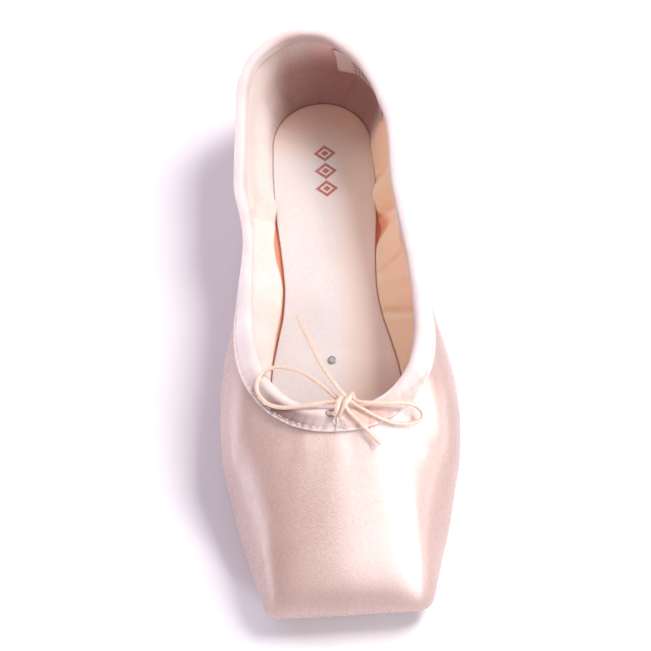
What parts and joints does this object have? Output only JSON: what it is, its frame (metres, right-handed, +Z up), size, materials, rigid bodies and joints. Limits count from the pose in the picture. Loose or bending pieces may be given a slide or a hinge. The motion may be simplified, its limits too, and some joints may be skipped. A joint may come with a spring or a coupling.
{
  "type": "pointe shoe",
  "caption": "Satin ballet pointe shoe with a stiff flat-ended toe box, drawstring topline tied in a bow, and a thin leather sole, standing empty",
  "frame": {"origin": "on the floor, under the middle of the shoe without its tied cord", "axes": "+X to the right of the shoe seen from above with the toe towards the viewer, +Y from the toe to the heel, +Z up"},
  "size_m": [0.0906, 0.236, 0.0552],
  "materials": {
    "satin": "glossy pink satin",
    "sole_leather": "buffed tan leather",
    "insole_twill": "pinkish beige twill",
    "binding_cloth": "matt pale pink cotton",
    "tack_steel": "dull steel nail head",
    "elastic_cord": "cream round elastic cord"
  },
  "bodies": {
    "root": {"upper": "satin", "outsole": "sole_leather", "insole": "insole_twill", "binding": "binding_cloth", "tack": "tack_steel", "drawstring_knot": "elastic_cord", "drawstring_loop_left": "elastic_cord", "drawstring_loop_right": "elastic_cord", "drawstring_end_long": "elastic_cord", "drawstring_end_short": "elastic_cord"}
  },
  "joints": []
}
